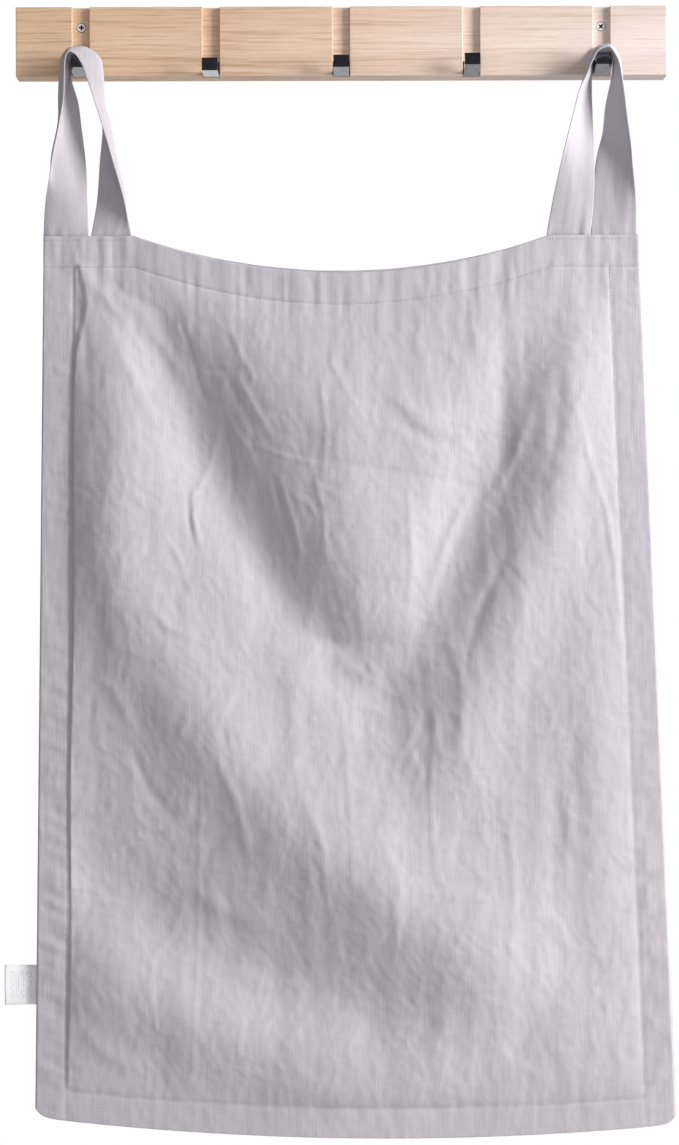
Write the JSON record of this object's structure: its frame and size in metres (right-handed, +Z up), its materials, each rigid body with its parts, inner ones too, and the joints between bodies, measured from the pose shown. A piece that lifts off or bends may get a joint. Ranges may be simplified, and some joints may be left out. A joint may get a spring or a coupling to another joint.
{
  "type": "apron on a hook rail",
  "caption": "Lined linen apron with a stitched border, hung by its strap loops on a grooved bamboo wall rail with flip-up metal hooks.",
  "frame": {"origin": "centre of the rail's back face, which lies on the wall", "axes": "+Z up, the front of the apron and the hooks face -Y, +X to the viewer's right"},
  "size_m": [0.616, 0.0786, 1.041],
  "materials": {
    "bamboo": "matte",
    "bracket_steel": "satin",
    "black_nickel": "polished",
    "zinc_plate": "satin",
    "linen": "matte",
    "thread": "matte",
    "label_satin": "satin"
  },
  "bodies": {
    "rail": {"rail_board": "bamboo", "wall_screws": "zinc_plate", "bracket_screws": "zinc_plate", "bracket_1": "bracket_steel", "bracket_2": "bracket_steel", "bracket_3": "bracket_steel", "bracket_4": "bracket_steel", "bracket_5": "bracket_steel", "hinge_pin_1": "zinc_plate", "hinge_pin_2": "zinc_plate", "hinge_pin_3": "zinc_plate", "hinge_pin_4": "zinc_plate", "hinge_pin_5": "zinc_plate"},
    "hook_1": {"hook_1": "black_nickel"},
    "hook_2": {"hook_2": "black_nickel"},
    "hook_3": {"hook_3": "black_nickel"},
    "hook_4": {"hook_4": "black_nickel"},
    "hook_5": {"hook_5": "black_nickel"},
    "straps": {"strap_left": "linen", "strap_right": "linen"},
    "skirt": {"front_panel": "linen", "back_panel": "linen", "border_facing": "linen", "top_facing": "linen", "border_stitching": "thread", "top_stitching": "thread", "strap_stitching": "thread", "care_label": "label_satin"}
  },
  "joints": [
    {"name": "hook_1_fold", "type": "hinge", "parent": "rail", "child": "hook_1", "pos_m": [-0.24, -0.016, -0.0296], "axis": [-1, 0, 0], "range_deg": [-11.5, 56], "deforming": ["strap_left"]},
    {"name": "hook_2_fold", "type": "hinge", "parent": "rail", "child": "hook_2", "pos_m": [-0.12, -0.016, -0.0296], "axis": [-1, 0, 0], "range_deg": [-2.5, 65]},
    {"name": "hook_3_fold", "type": "hinge", "parent": "rail", "child": "hook_3", "pos_m": [0, -0.016, -0.0296], "axis": [-1, 0, 0], "range_deg": [-10.5, 57]},
    {"name": "hook_4_fold", "type": "hinge", "parent": "rail", "child": "hook_4", "pos_m": [0.12, -0.016, -0.0296], "axis": [-1, 0, 0], "range_deg": [-16.5, 51]},
    {"name": "hook_5_fold", "type": "hinge", "parent": "rail", "child": "hook_5", "pos_m": [0.24, -0.016, -0.0296], "axis": [-1, 0, 0], "range_deg": [-16.5, 51], "deforming": ["strap_right"]},
    {"name": "apron_lift", "type": "slide", "parent": "rail", "child": "straps", "axis": [0, -0.45, 0.893], "range_m": [0, 0.1]},
    {"name": "apron_swing", "type": "hinge", "parent": "straps", "child": "skirt", "pos_m": [0, -0.026, -0.022], "axis": [-1, 0, 0], "range_deg": [-1, 35]}
  ]
}
